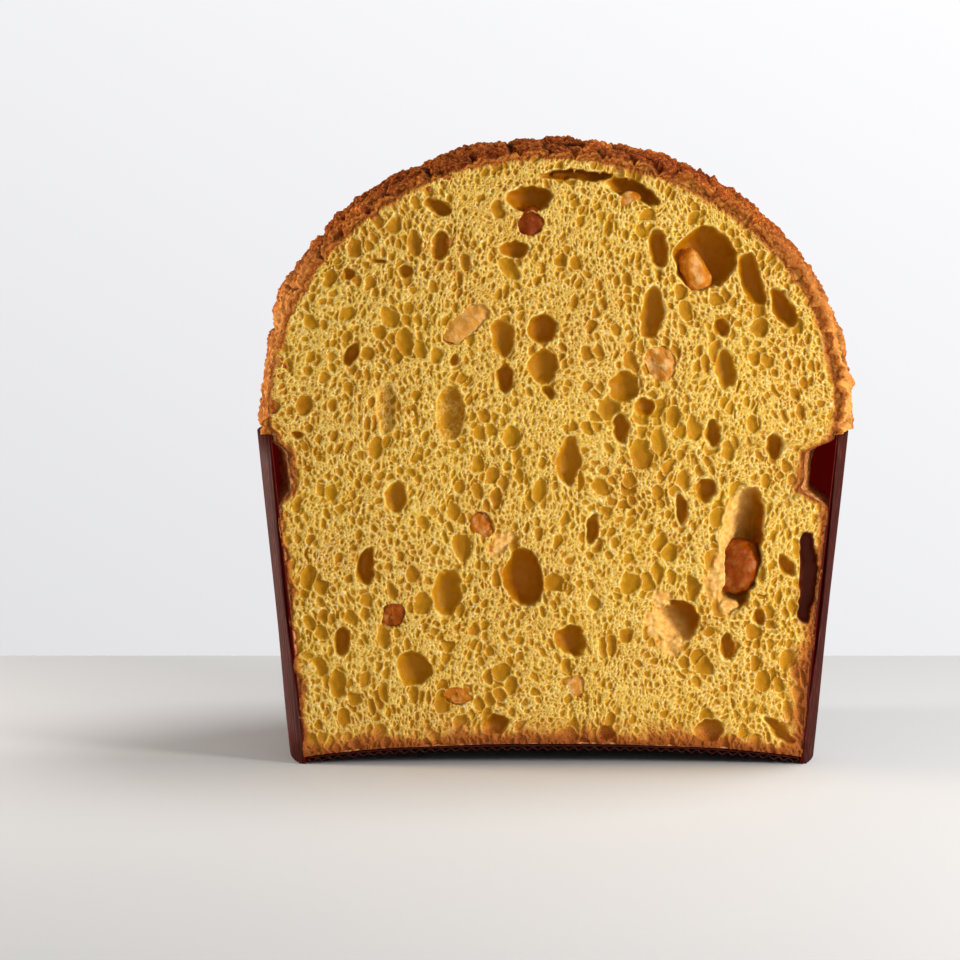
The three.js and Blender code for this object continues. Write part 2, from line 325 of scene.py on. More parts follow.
def new_material(name):
    """An empty material with its output and a Principled shader."""
    material = bpy.data.materials.new(name)
    material.use_nodes = True
    return material, material.node_tree.nodes["Principled BSDF"]


# %% [markdown]
# ## Camera, table and light
#
# The photo was taken with a long lens from a little above the loaf's middle: the table shows
# as a narrow band and the crumb almost square on. The camera stands 1.2 m in front of the cut,
# 20 cm above the table, tilted down by 5.3 degrees. The table ends a hand's breadth behind the
# loaf, and past it is a pale studio.
#
# Four square lights do what the studio's did. The key light comes from the right and grazes the
# crumb, so that every pore has a lit and a dark side. A broad, weak one in front opens the
# shadows. A small one at the far left draws the bright line along the left crust, and one from
# above lights the dome. The studio is seen bright but lights the loaf only a little: it gets
# lighter to the right and upwards, and is never darker than a pale grey.

# %% Camera
CAMERA_SIDE, CAMERA_DISTANCE, CAMERA_HEIGHT = -22.8, 1200.0, 200.0
CAMERA_TILT = 5.28
FOCAL_PIXELS, IMAGE_PIXELS, SENSOR = 3885.3, 960, 36.0

camera_data = bpy.data.cameras.new("camera")
camera_data.sensor_width = SENSOR
camera_data.lens = FOCAL_PIXELS / IMAGE_PIXELS * SENSOR
camera = add_object("camera", camera_data)
place = np.array([CAMERA_SIDE, -CUT - CAMERA_DISTANCE, CAMERA_HEIGHT]) + SHIFT
camera.location = Vector(place * MM)
camera.rotation_euler = (math.radians(90 - CAMERA_TILT), 0, 0)
bpy.context.scene.camera = camera
bpy.context.scene.view_settings.view_transform = "Standard"
print("lens of", round(camera_data.lens, 1), "mm at", place.round(1), "mm")

# %% Table
TABLE_BEHIND, TABLE_FRONT, TABLE_SIDE = 247.0, 700.0, 900.0

shape = bmesh.new()
bmesh.ops.create_grid(shape, x_segments=1, y_segments=1, size=0.5)
deep = TABLE_BEHIND + TABLE_FRONT
bmesh.ops.scale(shape, vec=(2 * TABLE_SIDE * MM, deep * MM, 1), verts=shape.verts)
middle = (CAD_BOX[0].y / MM + TABLE_BEHIND - deep / 2) * MM
bmesh.ops.translate(shape, vec=(0, middle, 0), verts=shape.verts)
table = add_object("table", mesh_of(shape, "table"))

lacquer, shader = new_material("white lacquered table top")
wire(shader, Base_Color="#cecece", Roughness=0.6, Specular_IOR_Level=0.1)
table.data.materials.append(lacquer)

# %% Lights
LIGHTS = [  # the point in mm that it looks at, its place and size in mm, power in W, colour
    ("key light", (0, -CUT, 100), (600, -400, 230), 170, 4.9, "#fffaf4"),
    ("front fill", (0, -CUT, 90), (250, -1100, 380), 800, 2.2, "#ffffff"),
    ("rim light", (-60, 0, 120), (-620, 50, 100), 120, 5.4, "#fff6ea"),
    ("top light", (0, 0, 150), (340, 150, 800), 420, 5.6, "#ffffff"),
]
for name, towards, place, size, power, colour in LIGHTS:
    lamp = bpy.data.lights.new(name, "AREA")
    lamp.size = size * MM
    lamp.energy = power
    lamp.color = linear(colour)[:3]
    made = add_object(name, lamp)
    made.location = Vector((np.array(place) + SHIFT) * MM)
    aim = Vector((np.array(towards) + SHIFT) * MM) - made.location
    made.rotation_euler = aim.to_track_quat("-Z", "Y").to_euler()
    print(name, "of", power, "W")

# %% Studio
BACKDROP, AMBIENT = 0.95, 0.21  # how bright the studio looks, and how much it lights the loaf
BACKDROP_RIGHT, BACKDROP_UP = 0.45, 0.8  # how it brightens towards the right and upwards
BACKDROP_LEAST = 0.78  # it is never darker than this

studio = bpy.data.worlds.new("pale studio")
studio.use_nodes = True
bpy.context.scene.world = studio
towards = node(studio, "TexCoord", output="Generated")
slope = node(studio, "VectorMath", {"operation": "DOT_PRODUCT"}, "Value", s0=towards,
             s1=(BACKDROP_RIGHT, 0.0, BACKDROP_UP))
sloped = node(studio, "Math", s0=slope, s1=BACKDROP)
pale = node(studio, "Math", {"operation": "MAXIMUM"}, s0=sloped, s1=BACKDROP_LEAST)
seen = node(studio, "LightPath", output="Is Camera Ray")
strength = node(studio, "MapRange", Value=seen, To_Min=AMBIENT, To_Max=pale)
wire(studio.node_tree.nodes["Background"], Strength=strength, Color="#fbfbfe")
print("studio:", len(studio.node_tree.nodes), "nodes")

# %% [markdown]
# ## The cut outline
#
# The knife shows the loaf's outline: inside the case it follows the liner, below the rim it
# draws in, because the crumb shrank away from the paper there, and above the rim it is the
# dome. A chord of a circle at the knife's distance from the axis turns each radius into half
# a width.

# %% Outline of the crumb
CRUST_THICK = 3.9
CRUMB_OVERLAP, OVERLAP_LEFT = 1.0, 1.9  # how far the crumb reaches over the crust's section


def notch(height, side):
    """How far the crumb draws in below the rim, more on the right (side 1) than the left (-1)."""
    rise = ramp(NOTCH_LOW, NOTCH_FROM, height) * (1 - ramp(NOTCH_TO, CASE_HEIGHT, height))
    return rise * (NOTCH_LEFT + (NOTCH_RIGHT - NOTCH_LEFT) * (0.5 + 0.5 * side))


def body_radius(height, side):
    """Radius of the loaf inside the case."""
    inside = liner_radius(height) - GAP - notch(height, side)
    dome = DOME_RADIUS - CRUST_THICK
    above = ramp(CASE_HEIGHT - 3, CASE_HEIGHT, height)
    return inside + (dome - inside) * above


def chord(radius):
    """Half the width of a circle where the knife crosses it."""
    return np.sqrt(np.maximum(1, radius**2 - CUT**2))


# %% [markdown]
# ## Holes and peel
#
# The large holes and the pieces of peel are where the solids have them. A few smaller holes
# join them. Each is a tilted egg: middle, width, height and tilt in degrees, to the right at
# the top. How deep and dark one is follows its size, apart from those that `FULLNESS` lists.

# %% Places of the large holes and the peel
HOLES = np.array([
    (7, 183.6, 23, 3.4, 0), (24, 178.5, 18, 5.5, 20), (-7.5, 176.5, 15, 8, -6),
    (-12, 161, 9, 5.5, 0), (46.6, 157.6, 18.5, 19, 0), (60.8, 151.7, 8.6, 16, -20),
    (71.3, 142.8, 7, 14, -28), (32.7, 161, 6.8, 11.7, -5), (30, 141, 8, 17, 8),
    (53, 123, 6.2, 12, 4), (22, 118.3, 9.3, 11, 0), (28.5, 111.5, 6.2, 7, 20),
    (-15.8, 133.5, 7.7, 11.4, -6), (-3.4, 136, 9, 9, 0), (-3.4, 124.5, 8.7, 10.8, 0),
    (-15, 121, 5.3, 10.8, 0), (4.7, 94.4, 8.4, 16, 5), (40, 80, 4.3, 10.6, -4),
    (12.1, 73.2, 4.5, 10.6, 14), (-31.6, 110.6, 8.7, 17, 0), (-51.7, 111.5, 6.2, 15.5, 6),
    (-49, 84, 6.2, 9, 0), (58, 67, 14, 40, 9), (68, 99, 5.3, 9.3, 12),
    (38.6, 44.4, 14, 15, -40), (78.8, 58.5, 5, 28, 2), (5.9, 39.4, 9, 10, -30),
    (48.7, 10.5, 8.7, 7, 0), (70.5, 10.5, 4, 12, -50), (-9.3, 58, 13, 19, -12),
    (-33, 54, 9, 15, 16), (-58, 62, 6, 13, 8), (-44, 30, 12, 10, 50), (-18, 12.5, 9, 6, -8),
    (-36, 173.5, 9, 5, 20), (52, 136, 5.5, 7, -20), (21.4, 105, 4.6, 10, 0),
    (-62, 128, 4.5, 9, 25), (47.2, 86, 6.2, 7, 0), (72.4, 62.6, 4.4, 8.5, -30),
    (54.5, 37.5, 4.4, 9.3, 0), (-66, 38, 6, 10, 0), (-35.5, 161.6, 4.6, 8.6, 10),
    (-56.7, 172.4, 5.5, 2.5, 0), (-54.9, 157, 6.8, 1.9, 10), (-45.4, 153.6, 5.2, 4.3, 0),
    (-63, 152.6, 3.7, 3.7, 0), (-1.2, 116.8, 4.6, 4.6, 0), (-30.9, 127, 3.1, 4.3, 0),
    (49.3, 103.4, 5.3, 8.7, 0), (-78.7, 103.4, 4.3, 3.1, 0), (63.8, 46.6, 5, 6.2, 0),
    (17.2, 10.1, 6.2, 4.4, 0),
])
CLODS = np.array([  # pale crumbs that hang together where the knife tore them
    (50.6, 58.5, 6.5, 19, 10), (54.5, 50.2, 7, 4.5, 0), (-16.5, 70.0, 9, 5, -40),
    (31.5, 43.0, 4.5, 11, 0), (36.5, 36.5, 9, 5, -20), (33.5, 52.5, 6, 9, -35),
])
SCOOPS = {22: 0.75, 24: 0.6}  # these two holes slope gently on their left side
FULLNESS = {  # how deep and dark a hole is for its size, where that isn't 1
    0: 2.4, 1: 1.6, 2: 1.2, 5: 0.85, 8: 0.65, 9: 0.65, 10: 0.62, 12: 0.62, 14: 0.62, 16: 0.55,
    19: 0.42, 20: 0.3, 21: 0.7, 30: 0.6, 32: 0.7,
}
BURNT_HOLE = 25  # the gap beside the paper on the right is scorched inside
PEEL = np.array([
    (-6.8, 168.6, 10.2, 10.2, 0, 3.6, 9), (23.1, 175.6, 7.7, 5.5, -15, 3, 7),
    (43.4, 153.6, 9, 15, -24, 5.4, 9), (-26.9, 137.5, 9.5, 19, 52, 3, 9),
    (-31.2, 165, 3.4, 7, 20, 1.6, 5), (32.6, 124.8, 11.5, 13.5, -12, 3.4, 9),
    (58, 62, 12.4, 18, 6, 6.2, 10), (-22.4, 75.4, 11, 9.3, 60, 3, 9),
    (6.9, 24.6, 7.8, 10, -20, 3, 8), (-50, 47, 9, 12, 35, 3.4, 9),
    (-30, 22, 10.5, 8, 10, 3, 8),
])


def egg(points, place, grow=0.0):
    """Place of points in a tilted egg: along its two half-axes, 1 at its rim."""
    x, z, width, height, tilt = place[:5]
    turn = math.radians(tilt)
    across, up = points[:, 0] - x, points[:, 1] - z
    right = across * math.cos(turn) - up * math.sin(turn)
    above = across * math.sin(turn) + up * math.cos(turn)
    return right / (width / 2 + grow), above / (height / 2 + grow)


print(len(HOLES), "large holes,", len(PEEL), "pieces of peel")

# %% [markdown]
# ## Crumb
#
# Panettone crumb is a foam: bubbles of every size that the rising dough drew upwards, so they
# are taller than wide and fan out towards the dome. The knife opened them. What is left is a
# web of thin walls round hollows, and in the walls there are smaller bubbles again.
#
# Real bubbles could be cut out with booleans, but thousands of them are slow and fragile.
# A flat grid that is dented is quick, and it keeps every hollow a real dent that the light
# can graze. The grid is made by the grid operator, bent to the outline, and each corner is
# moved back by the deepest hollow that it lies in. Before the pattern is read, the corners are
# pushed about by noises of several lengths, so that no bubble is a plain circle. Between the
# bubbles the dough is a felt of fine threads.

# %% Threads and bubbles
FOAM = [  # spacing in mm, share of cells that hold a bubble, depth in mm, tone of its inside
    (6.6, 0.15, 1.7, 1.0),
    (4.4, 0.28, 1.2, 0.95),
    (2.9, 0.5, 0.8, 0.85),
    (1.9, 0.75, 0.55, 0.75),
    (1.25, 0.9, 0.35, 0.6),
]
DRAWN_UP = 1.35  # bubbles are this much taller than wide
WALL = 0.24  # half the thickness in mm of the bright wall between two bubbles
THREAD_SPACING, THREAD = 0.8, 0.11  # mm, of the felt, and half the thickness of a thread
PUSHES = [  # wavelength in mm, salts, how far in mm it pushes the bubbles and the large holes
    (30, (10, 9), 3.0, 0.0),
    (8, (11, 12), 1.3, 0.8),
    (3.8, (28, 29), 0.0, 0.55),
    (1.7, (13, 14), 0.42, 0.4),
    (0.8, (24, 25), 0.14, 0.1),
]


def cut_face(flat):
    """The cut face before it has any holes: its points, and where the pushes take them."""
    face = SimpleNamespace(flat=flat, soft=flat, firm=flat)
    for length, salts, soft_push, firm_push in PUSHES:
        push = noises(flat, length, *salts)
        face.soft = face.soft + soft_push * push
        face.firm = face.firm + firm_push * push
    return face


def add_bubbles(face):
    """Depth and tones of the felt and of the bubbles, largest first: how hollow a place is, which
    sets its painted shade, how near a bright wall, and how far it lies open."""
    drawn = face.soft / np.array([1.0, DRAWN_UP])
    near, second, chance = cells(drawn, THREAD_SPACING, 101)
    web = np.exp(-(((second - near) / 2 / THREAD) ** 2))
    face.depth = 0.2 * (1 - web) * (0.4 + 0.6 * chance)
    # painted shade: the felt is painted a little darker between its threads
    face.hollow = 0.5 * (1 - web) * (0.2 + 0.8 * chance)
    face.web = 0.7 * web
    face.opened = np.zeros(len(drawn))
    crowd = soft_noise(face.flat, 22, 17)
    torn = 0.8 + 0.2 * soft_noise(face.flat, 1.5, 21)
    free = np.ones(len(drawn), bool)
    for number, (spacing, share, deep, tone) in enumerate(FOAM):
        near, second, chance = cells(drawn, spacing, 31 + 10 * number, 0.85)
        size = dice(61 + number, np.round(chance * 1e6))
        tint = dice(71 + number, np.round(chance * 1e6))
        inside = np.minimum((second - near) / 2, spacing * (0.27 + 0.25 * size) - near)
        kept = free & (chance < share + 0.2 * crowd)
        here = kept & (inside > 0)
        bowl = np.clip(inside / (0.3 * spacing), 0, 1)
        sides = ramp(0.0, 0.45, inside)
        dent = deep * (0.55 + 0.45 * size) * np.sqrt(1 - (1 - bowl) ** 2)
        # painted shade: a bubble's inside is painted darker towards the middle of its bowl
        shade = tone * (0.55 + 0.45 * tint) * (0.5 + 0.5 * bowl) * sides
        rim = torn * np.exp(-(((inside + 0.03) / WALL) ** 2))
        face.depth = np.where(here, dent, face.depth)
        face.hollow = np.where(here, shade, face.hollow)
        face.opened = np.where(here, sides, face.opened)
        near_wall = np.where(kept, np.maximum(face.web, rim), face.web)
        face.web = np.where(here, rim, near_wall)
        free &= ~here


print(len(FOAM), "sizes of bubbles,", FOAM[-1][0], "to", FOAM[0][0], "mm apart")

# %% [markdown]
# The large holes are smooth-walled caves with frayed rims. The deeper one is, the darker its
# inside is painted, as painted shade. Shallow ones keep smaller bubbles on their floor. Two slope
# gently on their left, where the flank that faces the key light is painted pale as painted light
# and the rest darker as painted shade, and the gap beside the paper is square and scorched.

# %% Large holes
FRAYED_RIM = 0.34  # mm, half the width of the bright rim
DARKEST_FROM = 5.5  # mm: a hole of this depth is as dark as holes get


def add_holes(face):
    """The large holes, over whatever the foam has there."""
    face.cavern, face.burnt, face.slopes = np.zeros((3, len(face.flat)))
    frayed = np.clip(0.55 + 0.8 * soft_noise(face.flat, 2.8, 33), 0.1, 1)
    for number, place in enumerate(HOLES):
        right, above = egg(face.firm, place)
        power = 4 if number == BURNT_HOLE else 2
        share = np.abs(right) ** power + np.abs(above) ** power
        inside = share < 1
        width, height = place[2:4]
        deep = min(0.42 * (width + height), 1.3 * min(width, height)) / 2 + 1
        full = FULLNESS.get(number, 1.0)
        lean = np.clip(1 + SCOOPS.get(number, 0) * right, 0.15, 1.5)
        dent = deep * np.sqrt(np.clip(1 - share**1.3, 0, 1)) * lean * (0.15 + 0.85 * full)
        foam = float(np.clip(2.2 * (0.62 - full), 0, 1))  # how much of the foam shows inside
        to_rim = (np.sqrt(share) - 1) * min(width, height) / 2
        rim = frayed * np.exp(-(((to_rim - 0.1) / FRAYED_RIM) ** 2))
        face.web = np.where(inside, np.maximum(rim, foam * face.web), np.maximum(face.web, rim))
        face.depth = np.where(inside, dent + foam * face.depth, face.depth)
        face.opened = np.where(inside, 1, face.opened)
        # painted light and shade: in the two sloping holes the left flank faces the key light and
        # is painted pale, the rest darker
        dark = 1 - 0.9 * (number in SCOOPS) * ramp(0.45, -0.5, right)
        tone = min(1, deep * full / DARKEST_FROM)
        # painted shade: a hole's inside is painted darker the deeper it lies, as far as its tone
        # allows
        gloom = np.clip(dent / DARKEST_FROM, 0, tone) * dark * min(1, full)
        face.cavern = np.where(inside, gloom, face.cavern)
        face.slopes = np.where(inside, 0.8 * (1 - dark), face.slopes)
        shade = (0.5 + 0.4 * min(1, full)) * dark * ramp(0, 1.2, -to_rim)
        face.hollow = np.where(inside, shade * (1 - foam) + face.hollow * foam, face.hollow)
        if number == BURNT_HOLE:
            face.burnt = ramp(1.3, 0.8, share)


# %% [markdown]
# Each piece of peel sits in a pocket that is a little smaller than it is, so its edge sinks
# into the crumb. Where the knife tore the crumb, clods hang together over the holes. Folds of
# dense dough wind through the foam, and the whole cut is slightly wavy, because crumb gives way
# under a knife.

# %% Pockets, clods and folds
POCKET_SMALLER, POCKET_DEEPER = 1.5, 2.2  # mm, round the outline and behind the peel's front


def add_pockets(face):
    for place in PEEL:
        right, above = egg(face.firm, place, -POCKET_SMALLER)
        inside = np.abs(right) ** 2.6 + np.abs(above) ** 2.6
        front = max(0.0, place[5] - place[6] / 2)
        face.depth = np.maximum(face.depth, (front + POCKET_DEEPER) * ramp(1.12, 0.9, inside))
        face.opened = np.maximum(face.opened, ramp(1.1, 0.9, inside))


def add_clods(face):
    """Clods cover what lies under them."""
    face.clod = np.zeros(len(face.flat))
    lumps = 0.6 * soft_noise(face.flat, 2.6, 22) + 0.4 * soft_noise(face.flat, 1.1, 23)
    for place in CLODS:
        right, above = egg(face.firm, place)
        share = right**2 + above**2
        cover = ramp(1.25, 0.5, share + 0.7 * lumps)
        face.depth = face.depth * (1 - cover) + (0.7 + 0.3 * share - 0.9 * lumps) * cover
        face.clod = np.maximum(face.clod, cover)
    for name in ("hollow", "cavern", "web", "opened"):
        setattr(face, name, getattr(face, name) * (1 - face.clod))
    # the clod value also carries the lit flanks, painted pale as painted light
    face.clod = np.maximum(0.8 * face.clod, face.slopes)


def crumb_depth(flat):
    """Depth behind the cut in mm, and the tones that the material reads."""
    face = cut_face(flat)
    for step in (add_bubbles, add_holes, add_pockets, add_clods):
        step(face)
    fold = np.exp(-((soft_noise(face.soft, 32, 27) / 0.05) ** 2)) * (1 - face.opened)
    hollow = face.hollow * (1 - 0.5 * fold)
    web = np.maximum(face.web, 0.4 * fold)
    wave = 0.3 * soft_noise(flat, 24, 15) + 0.2 * soft_noise(flat, 6, 16)
    film = 0.3 * soft_noise(flat, 3.4, 18) + 0.06 * soft_noise(flat, 1.3, 19)
    film = film * face.opened * (0.15 + face.cavern)
    depth = face.depth - 0.2 * fold + wave - 0.2 * web + film
    tones = dict(hollow=hollow, web=web, cavern=face.cavern, burnt=face.burnt, clod=face.clod)
    return depth, tones


# %% [markdown]
# The grid's rows are level and as long as the outline is wide up to the dome's widest part.
# Above it, the square is bent to half a disc, so rows and columns stay evenly spaced up to the
# crust. A grid this fine would pass what one piece may have, so the crumb is made in four bands
# that meet along rows. Each band's open edges are folded back and gathered at one point behind,
# which closes it.

# %% Crumb from the grid
COLUMNS, ROWS, LEVEL_ROWS, ROWS_EACH = 608, 608, 352, 152
CRUMB_BOTTOM = 2.6
WIDEN = 3  # mm: over this height above the case the crumb grows to the dome's width


def new_part(grown, kind):
    """The corners or edges among what an extrusion made."""
    return [part for part in grown["geom"] if isinstance(part, kind)]


def close_behind(shape, squeeze, folds, tip):
    """Folds all open edges back and inwards, and gathers them at a tip."""
    edges = [edge for edge in shape.edges if edge.is_boundary]
    tip = Vector(tip)
    for push in folds:
        grown = bmesh.ops.extrude_edge_only(shape, edges=edges)
        edges = new_part(grown, bmesh.types.BMEdge)
        for vert in new_part(grown, bmesh.types.BMVert):
            vert.co.x += (tip.x - vert.co.x) * squeeze
            vert.co.z += (tip.z - vert.co.z) * squeeze
            vert.co.y += push * float(ramp(5.0, -CUT, vert.co.y))
    grown = bmesh.ops.extrude_edge_only(shape, edges=edges)
    bmesh.ops.pointmerge(shape, verts=new_part(grown, bmesh.types.BMVert), merge_co=tip)


def crumb_outline(side, row):
    """Places on the cut of the grid's corners, and how far they are from the outline and up
    from the base. Side goes from -1 to 1, row from 0 to ROWS."""
    overlap = CRUMB_OVERLAP + (OVERLAP_LEFT - CRUMB_OVERLAP) * ramp(0.3, -0.5, side)
    thick = CRUST_THICK - overlap
    half = chord(DOME_RADIUS - thick)
    level = CRUMB_BOTTOM + (DOME_EQUATOR - CRUMB_BOTTOM) * row / LEVEL_ROWS
    waver = soft_noise(np.stack([np.sign(side) * 50, level], axis=1), 5, 19)
    width = chord(body_radius(level, np.sign(side))) + 0.9 * waver
    width = width + (half - width) * ramp(CASE_HEIGHT, CASE_HEIGHT + WIDEN, level)
    lift = arch_height(np.hypot(side * width, CUT)) + FLUTE_DEPTH + PAPER + GAP - CRUMB_BOTTOM
    low_x = side * width
    low_z = level + lift * (1 - ramp(CRUMB_BOTTOM, 30, level))

    upper = row > LEVEL_ROWS
    rise = np.clip((row - LEVEL_ROWS) / (ROWS - LEVEL_ROWS), 0, 1)
    dome_half = DOME_RISE * math.sqrt(1 - (CUT / DOME_RADIUS) ** 2) - thick
    x = np.where(upper, half * side * np.sqrt(1 - rise**2 / 2), low_x)
    z = np.where(upper, DOME_EQUATOR + dome_half * rise * np.sqrt(1 - side**2 / 2), low_z)
    dome_share = np.hypot(x / half, np.maximum(0, z - DOME_EQUATOR) / dome_half)
    to_rim = np.where(upper, (1 - dome_share) * 80, width - np.abs(low_x))
    return x, z, to_rim, z - (CRUMB_BOTTOM + lift)


def crumb_mesh(first, last):
    """The rows of the crumb from first to last, closed behind."""
    shape = bmesh.new()
    bmesh.ops.create_grid(shape, x_segments=COLUMNS, y_segments=last - first, size=1)
    mesh = mesh_of(shape, "crumb")
    side, grid_row, _ = corners(mesh).T
    row = first + (grid_row + 1) / 2 * (last - first)
    x, z, to_rim, to_bottom = crumb_outline(side, row)
    flat = np.stack([x, z], axis=1)
    depth, tones = crumb_depth(flat)
    depth = depth + 0.35 * (1 - ramp(0, 1.2, np.where(z > CASE_HEIGHT, to_rim, 9)))
    reshape(mesh, np.stack([x, depth - CUT, z], axis=1))

    patchy = 1 + 0.35 * soft_noise(flat, 7, 20) + 0.35 * soft_noise(flat, 2.6, 26)
    low_band = np.where(side > 0, 2.6 + 2.6 * ramp(70, 40, z), 1.8)
    band = np.where(z > CASE_HEIGHT, 1.5, low_band)
    browning = np.exp(-((to_rim / (band * patchy)) ** 2))
    bottom = np.exp(-((np.maximum(0, to_bottom) / (5.0 * patchy)) ** 2))
    paint(mesh, browning=np.maximum(browning, bottom), **tones)

    shape = shape_of(mesh)
    for edge in shape.edges:
        edge.smooth = not edge.is_boundary
    seam = float(z[np.argmin(row)]) if last == ROWS else float(z.mean())
    close_behind(shape, 0.004, (0.4, 16.0), (0.0, 2.0, seam))
    return write_back(shape, mesh)


# %% [markdown]
# The crumb's material is yeast crumb rich in egg yolk and butter. Its walls are thin and moist,
# so light goes some way through them: the shader lets it scatter a millimetre or so, most of
# all the red part. The walls at the cut are pale gold, hollows are painted a deeper amber as
# painted shade, and towards the crust and the base the oven browned it. Six values painted on
# the corners say where a hollow and its painted shade, a wall, a deep cave and its painted shade,
# browning, a scorched place or a torn clod is. The clod value also paints the lit flanks of two
# holes pale, as painted light.

# %% Material of the crumb
def crumb_material():
    material, shader = new_material("egg and butter yeast crumb")
    where = node(material, "TexCoord", output="Object")
    hollow, web, cavern, browning, burnt, clod = [
        node(material, "Attribute", {"attribute_name": name}, "Fac")
        for name in ("hollow", "web", "cavern", "browning", "burnt", "clod")]

    # the coordinates wander by half a millimetre, so the small bubbles are not polygons
    wander = node(material, "TexNoise", Vector=where, Scale=1 / (1.4 * MM), Detail=2.0)
    shift = node(material, "VectorMath", SCALED_SUM, s0=wander.node.outputs["Color"],
                 s1=(0.9 * MM,) * 3, s2=where)
    tiny = node(material, "TexVoronoi", {"feature": "DISTANCE_TO_EDGE"}, "Distance", Vector=shift,
                Scale=1 / (0.8 * MM))
    fleck = node(material, "TexNoise", Vector=where, Scale=1 / (0.7 * MM), Detail=1.0)
    broad = node(material, "TexNoise", Vector=where, Scale=1 / (26 * MM), Detail=2.0)

    # painted shade: the more hollow a place, the deeper the amber painted on it
    inside = node(material, "ValToRGB", s0=hollow, stops=[
        (0.0, "#e1bb44"), (0.25, "#d3a326"), (0.55, "#be8b0c"), (1.0, "#a67000")])
    # painted shade: the middles of the felt's fine cells, which the bump sinks, are painted darker
    threads = node(material, "ValToRGB", s0=tiny, stops=[
        (0.0, "#ffffff"), (0.08, "#f3da94"), (0.3, "#dcb468")])
    felt = node(material, "Mix", DARKEN, 2, s0=0.8, s6=inside, s7=threads)
    plain = node(material, "MapRange", s0=hollow, s1=0.3, s2=0.6)
    inside = node(material, "Mix", MIX, 2, s0=plain, s6=felt, s7=inside)
    patches = node(material, "ValToRGB", s0=broad, stops=[(0.35, "#e8cc98"), (0.65, "#ffffff")])
    inside = node(material, "Mix", DARKEN, 2, s0=0.6, s6=inside, s7=patches)
    # painted shade: the deep insides of large holes are painted amber-brown
    inside = node(material, "Mix", MIX, 2, s0=cavern, s6=inside, s7="#a86600")
    bright = node(material, "ValToRGB", s0=fleck, stops=[
        (0.42, "#e6c355"), (0.6, "#f1d684"), (0.72, "#faeabf")])
    at_wall = node(material, "MapRange", s0=web, s1=0.12, s2=0.9)
    wall = node(material, "Mix", MIX, 2, s0=at_wall, s6=inside, s7=bright)
    # pale torn clods, and the same pale colour painted on the lit flanks as painted light
    torn = node(material, "ValToRGB", s0=wander, stops=[(0.35, "#e0a049"), (0.6, "#f4c97c")])
    wall = node(material, "Mix", MIX, 2, s0=clod, s6=wall, s7=torn)

    brown = node(material, "ValToRGB", s0=browning, stops=[
        (0.0, "#dfa63c"), (0.4, "#d08c34"), (0.75, "#b87028"), (1.0, "#96501c")])
    crumbs = node(material, "ValToRGB", s0=tiny, stops=[(0.0, "#ffffff"), (0.4, "#b88458")])
    brown = node(material, "Mix", DARKEN, 2, s0=0.7, s6=brown, s7=crumbs)
    share = node(material, "MapRange", s0=browning, s1=0.05, s2=0.7)
    colour = node(material, "Mix", MIX, 2, s0=share, s6=wall, s7=brown)
    colour = node(material, "Mix", MIX, 2, s0=burnt, s6=colour, s7="#5a1e0c")

    bump = node(material, "Bump", {"invert": True}, Strength=0.5, Distance=0.3 * MM, Height=tiny)
    wire(shader, Base_Color=colour, Roughness=0.5, Normal=bump, Subsurface_Weight=0.25,
         Subsurface_Radius=(1.0, 0.75, 0.25), Subsurface_Scale=0.45 * MM,
         Specular_IOR_Level=0.12)
    return material


crumb = crumb_material()
for number in range(ROWS // ROWS_EACH):
    mesh = crumb_mesh(number * ROWS_EACH, (number + 1) * ROWS_EACH)
    piece(mesh, f"crumb_{number + 1}", crumb, "crumb", "loaf")

# %% [markdown]
# ## Crackled crust
#
# The dome is covered with a biscuit mass that cracked into chips as the dough rose under it.
# The solid already has every chip. A fine shell is laid over the dome and each of its corners
# is dropped onto the solid along the dome's normal, with the aim shaken a little, so the
# chips stay where they are while their edges turn crumbly. Grains, clumps and hairline cracks
# come on top.
#
# The shell starts as a finely divided cube blown up to a ball, which has no poles to pinch.

# %% Dome shell
DIVISIONS = 284
SHAKE = 0.8
BARE_PATCHES = [(184, 6, 17), (118, 31, 12), (62, 14, 10)]  # azimuth, height, reach in degrees


def dome_place(ball):
    """Points and normals of the smooth dome for directions from its middle."""
    upper = ball[:, 2] >= 0
    across = np.maximum(1e-6, np.hypot(ball[:, 0], ball[:, 1]))
    stretch = np.where(upper, DOME_RADIUS, DOME_RADIUS / across)
    points = np.stack([stretch * ball[:, 0], stretch * ball[:, 1],
                       DOME_EQUATOR + DOME_RISE * ball[:, 2]], axis=1)
    normals = np.stack([ball[:, 0] / DOME_RADIUS, ball[:, 1] / DOME_RADIUS,
                        np.where(upper, ball[:, 2] / DOME_RISE, 0)], axis=1)
    return points, normals / np.linalg.norm(normals, axis=1, keepdims=True)


def bare_share(ball):
    """1 in the middle of a patch where the biscuit split open, 0 on the biscuit."""
    most = np.zeros(len(ball))
    for azimuth, height, reach in BARE_PATCHES:
        turn, up = math.radians(azimuth), math.radians(height)
        middle = (math.cos(up) * math.cos(turn), math.cos(up) * math.sin(turn), math.sin(up))
        angle = np.degrees(np.arccos(np.clip(ball @ np.array(middle), -1, 1)))
        most = np.maximum(most, 1 - ramp(0.6 * reach, reach, angle))
    return most


def merged_copy(name):
    """A bmesh copy of a node's mesh with its loose triangles joined."""
    shape = shape_of(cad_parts[name].data)
    bmesh.ops.remove_doubles(shape, verts=shape.verts[:], dist=MERGE * MM)
    return shape


